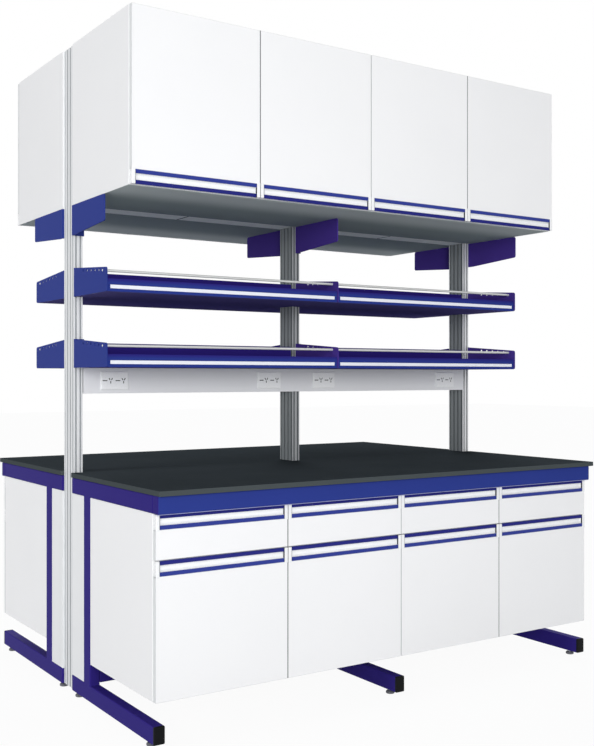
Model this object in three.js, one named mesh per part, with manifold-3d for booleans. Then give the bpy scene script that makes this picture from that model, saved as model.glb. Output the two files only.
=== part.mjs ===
// Double-sided laboratory island bench: steel frames, a black worktop, drawers and cupboards below,
// a two-level reagent shelf on aluminium columns, and cupboards overhead.
// Millimetres, +Z up. The origin is on the floor under the middle of the bench. X runs along its length,
// and its two working sides face -Y (front) and +Y (rear).
import * as THREE from "three";
import { mergeVertices } from "three/addons/utils/BufferGeometryUtils.js";
import Module from "manifold-3d";

const wasm = await Module();
wasm.setup();

// Clearances
const SEAT = 0.3; // between pieces that rest on each other or are bolted together
const FRONT_GAP = 3; // between neighbouring drawer fronts and doors
const CUT_OUT_GAP = 1.5; // between a column and the worktop round it
const OVERLAP = 5; // how far joined members run into each other

// Worktop, two slabs that meet along the middle
const WORKTOP_HEIGHT = 850;
const WORKTOP_OVERHANG = 4; // past the frames at each end
const WORKTOP_DEPTH = 1632;
const WORKTOP_THICKNESS = 18;

// Steel frames of rectangular tube
const FRAME_LENGTH = 2060;
const TUBE_HEIGHT = 60;
const TUBE_WIDTH = 40;
const FOOT_SETBACK = 48; // from the edge of the worktop to the tip of a foot
const APRON_SETBACK = 20; // from the edge of the worktop to the face of an apron
const UPRIGHT_SETBACK = 168; // from the middle of the bench to the near face of an upright
const STRETCHER_LIFT = 6; // from the top of a foot to the stretcher

// Levelling feet
const LEVELLER_HEIGHT = 18;
const LEVELLER_PAD_HEIGHT = 11;
const LEVELLER_RADIUS = 17;
const LEVELLER_STEM_RADIUS = 9;
const LEVELLER_TIP_INSET = 62;
const LEVELLER_ROOT_INSET = 32;

// Aluminium columns with mounting slots in their narrow faces and shallow grooves in their wide ones
const COLUMN_DEPTH = 100;
const COLUMN_WIDTH = 36;
const COLUMN_INSET = 8; // from the end of the frame to the outer face of an end column
const COLUMN_FLOOR_GAP = 20;
const SLOT_WIDTH = 7;
const SLOT_DEPTH = 8;
const SLOT_OFFSET = 9;
const GROOVE_WIDTH = 7;
const GROOVE_DEPTH = 3;
const GROOVE_OFFSETS = [14, 41];

// Folded closing panels between the uprights at the two ends
const PANEL_SHEET = 2;
const PANEL_INSET = 2; // from the end of the frame to the panel

// Cabinets
const CABINET_INSET = 2; // from the end of the frame to the side of a cabinet
const BAYS = 4;
const BAYS_PER_MODULE = 2;
const BOARD = 18;
const FRONT_THICKNESS = 20;
const FRONT_SETBACK = 44; // from the edge of the worktop to the face of the lower fronts
const BASE_FLOOR_GAP = 157;
const BASE_TOP_GAP = 2; // over the drawer fronts
const DRAWER_FRONT_HEIGHT = 149;
const OVERHEAD_REACH = 587;
const OVERHEAD_BOTTOM = 1873;
const OVERHEAD_HEIGHT = 616;
const OVERHEAD_MARGIN = 1; // between an overhead door and the edge of its cabinet
const GAP_COVER_THICKNESS = 12;

// Drawer boxes and the runners that carry them
const DRAWER_BACK_GAP = 55.7; // behind a closed drawer
const DRAWER_HEIGHT = 95;
const DRAWER_WALL = 12;
const DRAWER_BOTTOM = 8;
const DRAWER_SIDE_GAP = 2;
const RUNNER_WIDTH = 14;
const RUNNER_HEIGHT = 12;

// Full-width channel pulls along one edge of each front
const EDGE_LIP_HEIGHT = 13;
const CHANNEL_HEIGHT = 23;
const INNER_LIP_HEIGHT = 14;
const LIP_PROUD = 2;
const EDGE_LIP_FALL = 5; // how far the edge lip slopes back towards the edge
const CAP_WIDTH = 13;
const CAP_HEIGHT = 54;
const CAP_PROUD = 3;

// Reagent shelf: trays between brackets, with guard rods
const SHELF_BOTTOMS = { lower: 1252, upper: 1524 };
const TRAY_REACH = 360;
const TRAY_SHEET = 3;
const TRAY_LIP_HEIGHT = 47;
const TRAY_LIP_DEPTH = 12;
const INSERT_LIFT = 11;
const INSERT_HEIGHT = 14;
const INSERT_DEPTH = 2;
const UPSTAND_REACH = 45;
const UPSTAND_HEIGHT = 96;
const BRACKET_REACH = 366;
const BRACKET_THICKNESS = 3;
const BRACKET_ROOT_HEIGHT = 110;
const BRACKET_TIP_HEIGHT = 87;
const BRACKET_CORNER = 10;
const BRACKET_HOLES = 5;
const BRACKET_HOLE_RADIUS = 5.5;
const BRACKET_HOLE_PITCH = 37;
const BRACKET_HOLE_START = 144;
const BRACKET_HOLE_DROP = 11; // from the sloping top edge to a hole's middle
const ROD_RADIUS = 5;
const ROD_REACH = 325;
const ROD_LIFT = 78;
const WEB_THICKNESS = 4; // of the strap that joins a front arm to its rear arm round a column

// Arms under the overhead cabinets
const ARM_REACH = 362;
const ARM_THICKNESS = 4;
const ARM_ROOT_HEIGHT = 115;
const ARM_TIP_HEIGHT = 97;
const ARM_FLAT = 25;
const ARM_CORNER = 10;

// Service raceway under the lower shelf, with raised socket plates
const RACEWAY_HEIGHT = 99;
const RACEWAY_REACH = 56;
const RACEWAY_SHEET = 2;
const SOCKET_WIDTH = 118;
const SOCKET_HEIGHT = 72;
const SOCKET_PROUD = 7;
const SOCKET_FROM_MIDDLE = 143; // from the middle column to the middle of a socket plate
const SOCKET_FROM_END = 146; // from an end column to the middle of a socket plate

// Facets on round work
const ARC_SEGMENTS = 4;
const ROUND_SEGMENTS = 12;
const HOLE_SEGMENTS = 6;
const MERGE_TOLERANCE = 1e-4; // points closer than this are one

// Levels and faces that several pieces share
const worktopBottom = WORKTOP_HEIGHT - WORKTOP_THICKNESS;
const armTop = worktopBottom - SEAT;
const armBottom = armTop - TUBE_HEIGHT;
const footTop = LEVELLER_HEIGHT + TUBE_HEIGHT;
const frameEnd = FRAME_LENGTH / 2;
const worktopEnd = frameEnd + WORKTOP_OVERHANG;
const worktopReach = WORKTOP_DEPTH / 2;
const footReach = worktopReach - FOOT_SETBACK;
const baseReach = worktopReach - FRONT_SETBACK;
const cabinetEnd = frameEnd - CABINET_INSET;
const columnReach = COLUMN_DEPTH / 2;
const columnHalf = COLUMN_WIDTH / 2;
const columnPlaces = {
  left: -(frameEnd - COLUMN_INSET - columnHalf),
  middle: 0,
  right: frameEnd - COLUMN_INSET - columnHalf,
};
const rootReach = columnReach + SEAT;
const uprightReach = UPRIGHT_SETBACK + TUBE_HEIGHT;
const apronReach = worktopReach - APRON_SETBACK;
const apronBack = apronReach - TUBE_WIDTH;
const overheadTop = OVERHEAD_BOTTOM + OVERHEAD_HEIGHT;
const bayWidth = (2 * cabinetEnd) / BAYS;
const frontWidth = bayWidth - FRONT_GAP;
const carcassTop = armBottom - SEAT;
const drawerFrontTop = carcassTop - BASE_TOP_GAP;
const drawerFrontBottom = drawerFrontTop - DRAWER_FRONT_HEIGHT;
const baseDoorTop = drawerFrontBottom - FRONT_GAP;
const dustPanelBottom = (drawerFrontBottom + baseDoorTop - BOARD) / 2;
const dustPanelTop = dustPanelBottom + BOARD;
const drawerFloor = dustPanelTop + RUNNER_HEIGHT + SEAT;
const carcassBack = uprightReach + SEAT;
const drawerDepth = baseReach - FRONT_THICKNESS - (carcassBack + BOARD + DRAWER_BACK_GAP);
const notchReach = columnReach + 2 * SEAT + WEB_THICKNESS;

const finishes = {
  blueSteel: new THREE.MeshStandardMaterial({ color: 0x2f3590, roughness: 0.4, metalness: 0.1 }),
  aluminium: new THREE.MeshStandardMaterial({ color: 0xc6c9cf, roughness: 0.35, metalness: 0.9 }),
  whiteBoard: new THREE.MeshStandardMaterial({ color: 0xf2f3f4, roughness: 0.45, metalness: 0 }),
  greySteel: new THREE.MeshStandardMaterial({ color: 0xd2d5d8, roughness: 0.45, metalness: 0.1 }),
  blackLaminate: new THREE.MeshStandardMaterial({ color: 0x2a2e32, roughness: 0.5, metalness: 0 }),
};

// A closed three.js geometry as a solid that can be joined and cut.
function solid(geometry) {
  const bare = geometry.index ? geometry : geometry.clone();
  bare.deleteAttribute("normal");
  bare.deleteAttribute("uv");
  const merged = mergeVertices(bare, MERGE_TOLERANCE);
  const vertProperties = new Float32Array(merged.attributes.position.array);
  const triVerts = new Uint32Array(merged.index.array);
  return new wasm.Manifold(new wasm.Mesh({ numProp: 3, vertProperties, triVerts }));
}

// A solid as a three.js geometry.
function geometryOf(body) {
  const mesh = body.getMesh();
  const geometry = new THREE.BufferGeometry();
  geometry.setAttribute("position", new THREE.BufferAttribute(mesh.vertProperties, 3));
  geometry.setIndex(new THREE.BufferAttribute(mesh.triVerts, 1));
  geometry.computeVertexNormals();
  return geometry;
}

function joined(bodies) {
  return bodies.reduce((whole, body) => whole.add(body));
}

function cut(body, tools) {
  return tools.reduce((rest, tool) => rest.subtract(tool), body);
}

// A box between two limits on each axis.
function block([x0, x1], [y0, y1], [z0, z1]) {
  const geometry = new THREE.BoxGeometry(x1 - x0, y1 - y0, z1 - z0);
  geometry.translate((x0 + x1) / 2, (y0 + y1) / 2, (z0 + z1) / 2);
  return solid(geometry);
}

// The same span on the other side of zero, and a span about zero.
const mirrored = ([low, high]) => [-high, -low];
const about = (half, middle = 0) => [middle - half, middle + half];

const AXES = {
  x: new THREE.Vector3(1, 0, 0),
  y: new THREE.Vector3(0, 1, 0),
  z: new THREE.Vector3(0, 0, 1),
};
// A section is drawn as (y, z) along X, as (z, x) along Y and as (x, y) along Z.
const ALONG = {
  x: new THREE.Matrix4().makeBasis(AXES.y, AXES.z, AXES.x),
  y: new THREE.Matrix4().makeBasis(AXES.z, AXES.x, AXES.y),
  z: new THREE.Matrix4().makeBasis(AXES.x, AXES.y, AXES.z),
};

function bar(axis, section, [from, to], segments = ARC_SEGMENTS) {
  const options = { depth: to - from, bevelEnabled: false, curveSegments: segments };
  const geometry = new THREE.ExtrudeGeometry(section, options);
  geometry.translate(0, 0, from).applyMatrix4(ALONG[axis]);
  return solid(geometry);
}

const outline = (points) => new THREE.Shape(points.map(([a, b]) => new THREE.Vector2(a, b)));

// A round pin along X, for rods and for drilling.
function pin(radius, [from, to], y, z, segments = ROUND_SEGMENTS) {
  const geometry = new THREE.CylinderGeometry(radius, radius, to - from, segments);
  geometry.rotateZ(Math.PI / 2).translate((from + to) / 2, y, z);
  return solid(geometry);
}

const model = new THREE.Group();
const sides = { front: new THREE.Group(), rear: new THREE.Group() };
sides.rear.rotation.z = Math.PI;
model.add(sides.front, sides.rear);
const ends = {
  front: { left: "left", right: "right" },
  rear: { left: "right", right: "left" },
};

function place(parent, name, geometry, finish, position = [0, 0, 0]) {
  const mesh = new THREE.Mesh(geometry, finish);
  mesh.name = name;
  mesh.position.set(...position);
  parent.add(mesh);
  return mesh;
}

// Steel frames

function leveller(x, y) {
  const profile = [
    [0, 0],
    [LEVELLER_RADIUS, 0],
    [LEVELLER_RADIUS, LEVELLER_PAD_HEIGHT],
    [LEVELLER_STEM_RADIUS, LEVELLER_PAD_HEIGHT],
    [LEVELLER_STEM_RADIUS, LEVELLER_HEIGHT + OVERLAP],
    [0, LEVELLER_HEIGHT + OVERLAP],
  ];
  const points = profile.map(([radius, height]) => new THREE.Vector2(radius, height));
  const geometry = new THREE.LatheGeometry(points, ROUND_SEGMENTS);
  geometry.rotateX(Math.PI / 2).translate(x, y, 0);
  return solid(geometry);
}

const tubeAbout = (x) => about(TUBE_WIDTH / 2, x);
const footLevels = [LEVELLER_HEIGHT, footTop];
const armLevels = [armBottom, armTop];
const uprightLevels = [footTop - OVERLAP, armBottom + OVERLAP];
const uprightSpan = [-uprightReach, -UPRIGHT_SETBACK];
const levellerPlaces = [-(footReach - LEVELLER_TIP_INSET), -(columnReach + LEVELLER_ROOT_INSET)];

// A C-shaped end frame on the front side: foot, upright, top arm and two levelling feet.
function endFrame(x) {
  return joined([
    block(tubeAbout(x), [-footReach, -rootReach], footLevels),
    block(tubeAbout(x), uprightSpan, uprightLevels),
    block(tubeAbout(x), [-(apronBack - SEAT), -rootReach], armLevels),
    ...levellerPlaces.map((y) => leveller(x, y)),
  ]);
}

// The frame in the middle runs from front to rear and carries the stretchers to both end frames.
function middleFrame() {
  const stretcherEnd = frameEnd - TUBE_WIDTH - SEAT;
  const stretcherLevels = [footTop + STRETCHER_LIFT, footTop + STRETCHER_LIFT + TUBE_HEIGHT];
  const stretcherSpan = [-uprightReach, -(uprightReach - TUBE_WIDTH)];
  const halves = [(span) => span, mirrored].flatMap((half) => [
    block(tubeAbout(0), half(uprightSpan), uprightLevels),
    block(about(stretcherEnd), half(stretcherSpan), stretcherLevels),
  ]);
  const feet = levellerPlaces.flatMap((y) => [leveller(0, y), leveller(0, -y)]);
  return joined([
    block(tubeAbout(0), about(footReach), footLevels),
    block(tubeAbout(0), about(apronBack - SEAT), armLevels),
    ...halves,
    ...feet,
  ]);
}

const endFrameX = frameEnd - TUBE_WIDTH / 2;
const endFrameGeometry = geometryOf(endFrame(0));
for (const [side, group] of Object.entries(sides)) {
  place(group, `frame_${side}_${ends[side].left}`, endFrameGeometry, finishes.blueSteel, [-endFrameX, 0, 0]);
  place(group, `frame_${side}_${ends[side].right}`, endFrameGeometry, finishes.blueSteel, [endFrameX, 0, 0]);
}
place(model, "frame_middle", geometryOf(middleFrame()), finishes.blueSteel);

const apronGeometry = geometryOf(block(about(frameEnd), [-apronReach, -apronBack], armLevels));
for (const [side, group] of Object.entries(sides)) {
  place(group, `apron_${side}`, apronGeometry, finishes.blueSteel);
}

// Aluminium columns

function columnSection() {
  const slots = [-SLOT_OFFSET, SLOT_OFFSET];
  const [half, reach] = [columnHalf, columnReach];
  const edge = (points, turn) => points.map(([a, b]) => (turn ? [-a, -b] : [a, b]));
  const narrow = slots.flatMap((a) => [
    [a - SLOT_WIDTH / 2, -reach],
    [a - SLOT_WIDTH / 2, -reach + SLOT_DEPTH],
    [a + SLOT_WIDTH / 2, -reach + SLOT_DEPTH],
    [a + SLOT_WIDTH / 2, -reach],
  ]);
  const places = [...GROOVE_OFFSETS].sort((a, b) => b - a).map((b) => -b);
  const wide = [...places, ...GROOVE_OFFSETS].flatMap((b) => [
    [half, b - GROOVE_WIDTH / 2],
    [half - GROOVE_DEPTH, b - GROOVE_WIDTH / 2],
    [half - GROOVE_DEPTH, b + GROOVE_WIDTH / 2],
    [half, b + GROOVE_WIDTH / 2],
  ]);
  const halfRound = [[-half, -reach], ...narrow, [half, -reach], ...wide];
  return outline([...edge(halfRound, false), ...edge(halfRound, true)]);
}

const columnBottoms = { left: COLUMN_FLOOR_GAP, middle: worktopBottom, right: COLUMN_FLOOR_GAP };
for (const [end, x] of Object.entries(columnPlaces)) {
  const shaft = bar("z", columnSection(), [columnBottoms[end], overheadTop]);
  place(model, `column_${end}`, geometryOf(shaft), finishes.aluminium, [x, 0, 0]);
}

// Worktop

function worktopSlab() {
  const slab = block(about(worktopEnd), [-worktopReach, -SEAT / 2], [worktopBottom, WORKTOP_HEIGHT]);
  const depth = [-(columnReach + CUT_OUT_GAP), OVERLAP];
  const through = about(WORKTOP_THICKNESS, WORKTOP_HEIGHT);
  const endGap = columnPlaces.right - columnHalf - CUT_OUT_GAP;
  return cut(slab, [
    block(about(columnHalf + CUT_OUT_GAP), depth, through),
    block([endGap, worktopEnd + OVERLAP], depth, through),
    block([-worktopEnd - OVERLAP, -endGap], depth, through),
  ]);
}

const worktopGeometry = geometryOf(worktopSlab());
for (const [side, group] of Object.entries(sides)) {
  place(group, `worktop_${side}`, worktopGeometry, finishes.blackLaminate);
}

// Closing panels: a folded sheet that stands flush between upright and column and passes behind the column

function endPanel() {
  const face = frameEnd - PANEL_INSET;
  const behind = columnPlaces.right - columnHalf - SEAT;
  const near = rootReach + SEAT;
  const far = UPRIGHT_SETBACK - SEAT;
  const outer = [
    [face, far],
    [face, near],
    [behind, near],
  ];
  const inner = [
    [behind - PANEL_SHEET, near + PANEL_SHEET],
    [face - PANEL_SHEET, near + PANEL_SHEET],
    [face - PANEL_SHEET, far],
  ];
  const opposite = (points) => points.map(([x, y]) => [x, -y]).reverse();
  const section = [...outer, ...opposite(outer), ...opposite(inner), ...inner];
  return bar("z", outline(section), [footTop + SEAT, carcassTop]);
}

const endPanelGeometry = geometryOf(endPanel());
place(model, "end_panel_right", endPanelGeometry, finishes.whiteBoard);
place(model, "end_panel_left", endPanelGeometry, finishes.whiteBoard).rotation.z = Math.PI;

// Cabinet bodies: two modules of two bays each, with a drawer divider inside each module

const bayStart = (bay) => bay * bayWidth - cabinetEnd;
const isModuleStart = (bay) => bay % BAYS_PER_MODULE === 0;
const leftWall = (bay) => (isModuleStart(bay) ? BOARD : BOARD / 2);
const rightWall = (bay) => (isModuleStart(bay) ? BOARD / 2 : BOARD);
const bays = [...Array(BAYS).keys()];
const modules = bays.filter(isModuleStart);

// The clear width of a bay between its side and the divider.
const baySpan = (bay) => [bayStart(bay) + leftWall(bay), bayStart(bay + 1) - rightWall(bay)];
// The clear width of a two-bay module between its sides.
const moduleSpan = (bay) => [bayStart(bay) + BOARD, bayStart(bay + BAYS_PER_MODULE) - BOARD];

function baseCarcass() {
  const [front, back] = [-(baseReach - FRONT_THICKNESS - SEAT), -carcassBack];
  const hollow = [front - OVERLAP, back - BOARD];
  const body = block(about(cabinetEnd), [front, back], [BASE_FLOOR_GAP, carcassTop]);
  const cupboardLevels = [BASE_FLOOR_GAP + BOARD, dustPanelBottom];
  const drawerLevels = [dustPanelTop, carcassTop - BOARD];
  const cupboards = modules.map((bay) => block(moduleSpan(bay), hollow, cupboardLevels));
  const drawerBays = bays.map((bay) => block(baySpan(bay), hollow, drawerLevels));
  const runnerLevels = [dustPanelTop - OVERLAP, dustPanelTop + RUNNER_HEIGHT];
  const runners = bays.flatMap((bay) => {
    const [low, high] = baySpan(bay);
    const run = [front, back - OVERLAP];
    return [
      block([low - OVERLAP, low + RUNNER_WIDTH], run, runnerLevels),
      block([high - RUNNER_WIDTH, high + OVERLAP], run, runnerLevels),
    ];
  });
  return joined([cut(body, [...cupboards, ...drawerBays]), ...runners]);
}

function overheadCarcass() {
  const [front, back] = [-(OVERHEAD_REACH - FRONT_THICKNESS - SEAT), -rootReach];
  const levels = [OVERHEAD_BOTTOM + SEAT, overheadTop];
  const hollow = [front - OVERLAP, back - BOARD];
  const hollowLevels = [levels[0] + BOARD, overheadTop - BOARD];
  const cupboards = modules.map((bay) => block(moduleSpan(bay), hollow, hollowLevels));
  return cut(block(about(cabinetEnd), [front, back], levels), cupboards);
}

// Cover strips between the columns close the gap between the two overhead cabinets from below.
function gapCovers() {
  const depth = [-rootReach - OVERLAP, rootReach - 2 * SEAT];
  const levels = [OVERHEAD_BOTTOM + SEAT, OVERHEAD_BOTTOM + SEAT + GAP_COVER_THICKNESS];
  const span = [columnHalf + SEAT, columnPlaces.right - columnHalf - SEAT];
  return [block(span, depth, levels), block(mirrored(span), depth, levels)];
}

const baseCarcassGeometry = geometryOf(baseCarcass());
const overheadBodies = {
  front: joined([overheadCarcass(), ...gapCovers()]),
  rear: overheadCarcass(),
};
for (const [side, group] of Object.entries(sides)) {
  place(group, `base_carcass_${side}`, baseCarcassGeometry, finishes.whiteBoard);
  place(group, `overhead_carcass_${side}`, geometryOf(overheadBodies[side]), finishes.whiteBoard);
}

// Fronts: a panel with a channel pull along one edge, closed at its ends by caps

// The panel's section as (y, z), with its back at y = 0, its face towards -y and the pull at the top.
function frontSection(height) {
  const lipFace = -(FRONT_THICKNESS + LIP_PROUD);
  const channelTop = height - EDGE_LIP_HEIGHT;
  const channelBottom = channelTop - CHANNEL_HEIGHT;
  const lipBottom = channelBottom - INNER_LIP_HEIGHT;
  const radius = CHANNEL_HEIGHT / 2;
  const section = new THREE.Shape();
  section.moveTo(0, 0);
  section.lineTo(0, height);
  section.lineTo(lipFace + EDGE_LIP_FALL, height);
  section.lineTo(lipFace, channelTop);
  section.absarc(lipFace, channelTop - radius, radius, Math.PI / 2, -Math.PI / 2, true);
  section.lineTo(lipFace, lipBottom);
  section.lineTo(-FRONT_THICKNESS, lipBottom);
  section.lineTo(-FRONT_THICKNESS, 0);
  return section;
}

function frontPanel(height) {
  const capDepth = [-(FRONT_THICKNESS + CAP_PROUD), 0];
  const capLevels = [height - CAP_HEIGHT, height];
  const end = frontWidth / 2;
  return joined([
    bar("x", frontSection(height), about(end)),
    block([-end, -end + CAP_WIDTH], capDepth, capLevels),
    block([end - CAP_WIDTH, end], capDepth, capLevels),
  ]);
}

// A drawer with its front's back face at y = 0 and the foot of its front at z = 0.
function drawer(bay) {
  const middle = bayStart(bay) + bayWidth / 2;
  const [low, high] = baySpan(bay).map((x) => x - middle);
  const outer = [low + DRAWER_SIDE_GAP, high - DRAWER_SIDE_GAP];
  const floor = drawerFloor - drawerFrontBottom;
  const box = block(outer, [-OVERLAP, drawerDepth], [floor, floor + DRAWER_HEIGHT]);
  const inside = block(
    [outer[0] + DRAWER_WALL, outer[1] - DRAWER_WALL],
    [0, drawerDepth - DRAWER_WALL],
    [floor + DRAWER_BOTTOM, floor + DRAWER_HEIGHT + OVERLAP],
  );
  return joined([frontPanel(DRAWER_FRONT_HEIGHT), cut(box, [inside])]);
}

const baseDoorGeometry = geometryOf(frontPanel(baseDoorTop - BASE_FLOOR_GAP));
// Overhead doors have their pull along the bottom edge: the panel turns about its own face direction.
const overheadDoorHeight = OVERHEAD_HEIGHT - SEAT - 2 * OVERHEAD_MARGIN;
const overheadDoorGeometry = geometryOf(frontPanel(overheadDoorHeight));
const drawerGeometries = bays.map((bay) => geometryOf(drawer(bay)));
const baseFrontY = -(baseReach - FRONT_THICKNESS);
const overheadFrontY = -(OVERHEAD_REACH - FRONT_THICKNESS);
for (const [side, group] of Object.entries(sides)) {
  for (const bay of bays) {
    const x = bayStart(bay) + bayWidth / 2;
    const tag = `${side}_${bay + 1}`;
    const finish = finishes.whiteBoard;
    place(group, `drawer_${tag}`, drawerGeometries[bay], finish, [x, baseFrontY, drawerFrontBottom]);
    place(group, `base_door_${tag}`, baseDoorGeometry, finish, [x, baseFrontY, BASE_FLOOR_GAP]);
    const hung = [x, overheadFrontY, overheadTop - OVERHEAD_MARGIN];
    place(group, `overhead_door_${tag}`, overheadDoorGeometry, finish, hung).rotation.y = Math.PI;
  }
}

// Arms and brackets: a front and a rear cantilever joined by a strap round the back of the column

// A front cantilever, its rear twin and the strap, for a column about x = 0.
// The section is drawn as (y, z) on the front side.
function cantileverPair(section, rearSection, [x0, x1], [z0, z1]) {
  const strap = [columnHalf + SEAT, columnHalf + SEAT + WEB_THICKNESS];
  const flange = [rootReach, rootReach + WEB_THICKNESS];
  const flangeSpan = [Math.min(x0, strap[0]), Math.max(x1, strap[1])];
  return joined([
    bar("x", section, [x0, x1]),
    bar("x", rearSection, [x0, x1]),
    block(flangeSpan, mirrored(flange), [z0, z1]),
    block(flangeSpan, flange, [z0, z1]),
    block(strap, about(flange[1]), [z0, z1]),
  ]);
}

// A cantilever's side outline from the column to its rounded tip, on the front or the rear side.
function armSection(sign) {
  const [root, tip] = [sign * rootReach, sign * ARM_REACH];
  const [top, inward] = [OVERHEAD_BOTTOM, -sign * ARM_CORNER];
  const tipBottom = top - ARM_TIP_HEIGHT;
  const section = new THREE.Shape();
  section.moveTo(root, top);
  section.lineTo(root, top - ARM_ROOT_HEIGHT);
  section.lineTo(root + sign * ARM_FLAT, top - ARM_ROOT_HEIGHT);
  section.lineTo(tip + inward, tipBottom);
  section.quadraticCurveTo(tip, tipBottom, tip, tipBottom + ARM_CORNER);
  section.lineTo(tip, top - ARM_CORNER);
  section.quadraticCurveTo(tip, top, tip + inward, top);
  return section;
}

// The height of a bracket's sloping top edge over its bottom.
function bracketHeight(reach) {
  const slope = (BRACKET_TIP_HEIGHT - BRACKET_ROOT_HEIGHT) / (BRACKET_REACH - rootReach);
  return BRACKET_ROOT_HEIGHT + slope * (reach - rootReach);
}

function bracketSection(sign, bottom) {
  const [root, tip] = [sign * rootReach, sign * BRACKET_REACH];
  const topAt = (reach) => bottom + bracketHeight(reach);
  const bend = BRACKET_REACH - BRACKET_CORNER;
  const section = new THREE.Shape();
  section.moveTo(root, bottom);
  section.lineTo(sign * bend, bottom);
  section.quadraticCurveTo(tip, bottom, tip, bottom + BRACKET_CORNER);
  section.lineTo(tip, topAt(BRACKET_REACH) - BRACKET_CORNER);
  section.quadraticCurveTo(tip, topAt(BRACKET_REACH), sign * bend, topAt(bend));
  section.lineTo(root, bottom + BRACKET_ROOT_HEIGHT);
  return section;
}

// The rod's hole and the row of small holes under the top edge, through both cantilevers of a bracket.
function bracketDrills(span, bottom) {
  const through = [span[0] - OVERLAP, span[1] + OVERLAP];
  const rodHole = [ROD_RADIUS + SEAT, ROD_REACH, bottom + ROD_LIFT, ROUND_SEGMENTS];
  const row = [...Array(BRACKET_HOLES).keys()].map((hole) => {
    const reach = BRACKET_HOLE_START + hole * BRACKET_HOLE_PITCH;
    return [BRACKET_HOLE_RADIUS, reach, bottom + bracketHeight(reach) - BRACKET_HOLE_DROP, HOLE_SEGMENTS];
  });
  return [rodHole, ...row].flatMap(([radius, reach, z, segments]) =>
    [-reach, reach].map((y) => pin(radius, through, y, z, segments)),
  );
}

// Where the cantilevers of a column lie across it: flush with an outer face, or in the middle.
function cantileverSpan(end, outerFace, thickness) {
  const reach = outerFace - columnPlaces.right;
  const spans = {
    left: [-reach, thickness - reach],
    middle: about(thickness / 2),
    right: [reach - thickness, reach],
  };
  return spans[end];
}

for (const [end, x] of Object.entries(columnPlaces)) {
  const armSpan = cantileverSpan(end, frameEnd, ARM_THICKNESS);
  const armLevel = [OVERHEAD_BOTTOM - ARM_ROOT_HEIGHT, OVERHEAD_BOTTOM];
  const arm = cantileverPair(armSection(-1), armSection(1), armSpan, armLevel);
  place(model, `overhead_arm_${end}`, geometryOf(arm), finishes.blueSteel, [x, 0, 0]);
  for (const [level, bottom] of Object.entries(SHELF_BOTTOMS)) {
    const bracketSpan = cantileverSpan(end, frameEnd - COLUMN_INSET, BRACKET_THICKNESS);
    const bracketLevels = [bottom, bottom + BRACKET_ROOT_HEIGHT];
    const sections = [bracketSection(-1, bottom), bracketSection(1, bottom)];
    const blank = cantileverPair(...sections, bracketSpan, bracketLevels);
    const bracket = cut(blank, bracketDrills(bracketSpan, bottom));
    place(model, `shelf_bracket_${level}_${end}`, geometryOf(bracket), finishes.blueSteel, [x, 0, 0]);
  }
}

// Shelf trays, each open on both sides of the columns between two brackets

function traySection(bottom) {
  const lip = TRAY_REACH - TRAY_LIP_DEPTH;
  const half = [
    [TRAY_REACH, 0],
    [TRAY_REACH, INSERT_LIFT],
    [TRAY_REACH - INSERT_DEPTH, INSERT_LIFT],
    [TRAY_REACH - INSERT_DEPTH, INSERT_LIFT + INSERT_HEIGHT],
    [TRAY_REACH, INSERT_LIFT + INSERT_HEIGHT],
    [TRAY_REACH, TRAY_LIP_HEIGHT],
    [lip, TRAY_LIP_HEIGHT],
    [lip, TRAY_SHEET],
    [UPSTAND_REACH, TRAY_SHEET],
    [UPSTAND_REACH, UPSTAND_HEIGHT],
    [UPSTAND_REACH - TRAY_SHEET, UPSTAND_HEIGHT],
    [UPSTAND_REACH - TRAY_SHEET, TRAY_SHEET],
  ];
  const other = half.map(([y, z]) => [-y, z]).reverse();
  return outline([...half, ...other].map(([y, z]) => [y, z + bottom]));
}

// A tray to the right of the middle bracket, notched round the columns and their straps.
function tray(bottom) {
  const inner = BRACKET_THICKNESS / 2 + SEAT;
  const outer = frameEnd - COLUMN_INSET - BRACKET_THICKNESS - SEAT;
  const strapRoom = columnHalf + 2 * SEAT + WEB_THICKNESS;
  const levels = [bottom - OVERLAP, bottom + UPSTAND_HEIGHT + OVERLAP];
  const notches = [
    [inner - OVERLAP, strapRoom],
    [columnPlaces.right - strapRoom, outer + OVERLAP],
  ];
  const cuts = notches.map((span) => block(span, about(notchReach + SEAT), levels));
  return cut(bar("x", traySection(bottom), [inner, outer]), cuts);
}

const rodEnd = frameEnd - COLUMN_INSET;
for (const [level, bottom] of Object.entries(SHELF_BOTTOMS)) {
  const geometry = geometryOf(tray(bottom));
  place(model, `shelf_tray_${level}_right`, geometry, finishes.blueSteel);
  place(model, `shelf_tray_${level}_left`, geometry, finishes.blueSteel).rotation.z = Math.PI;
  for (const [side, group] of Object.entries(sides)) {
    const rod = geometryOf(pin(ROD_RADIUS, about(rodEnd), 0, 0));
    const rodPlace = [0, -ROD_REACH, bottom + ROD_LIFT];
    place(group, `guard_rod_${level}_${side}`, rod, finishes.aluminium, rodPlace);
  }
}

// Service raceway: a sheet duct between the end columns, with socket plates on both faces

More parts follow.
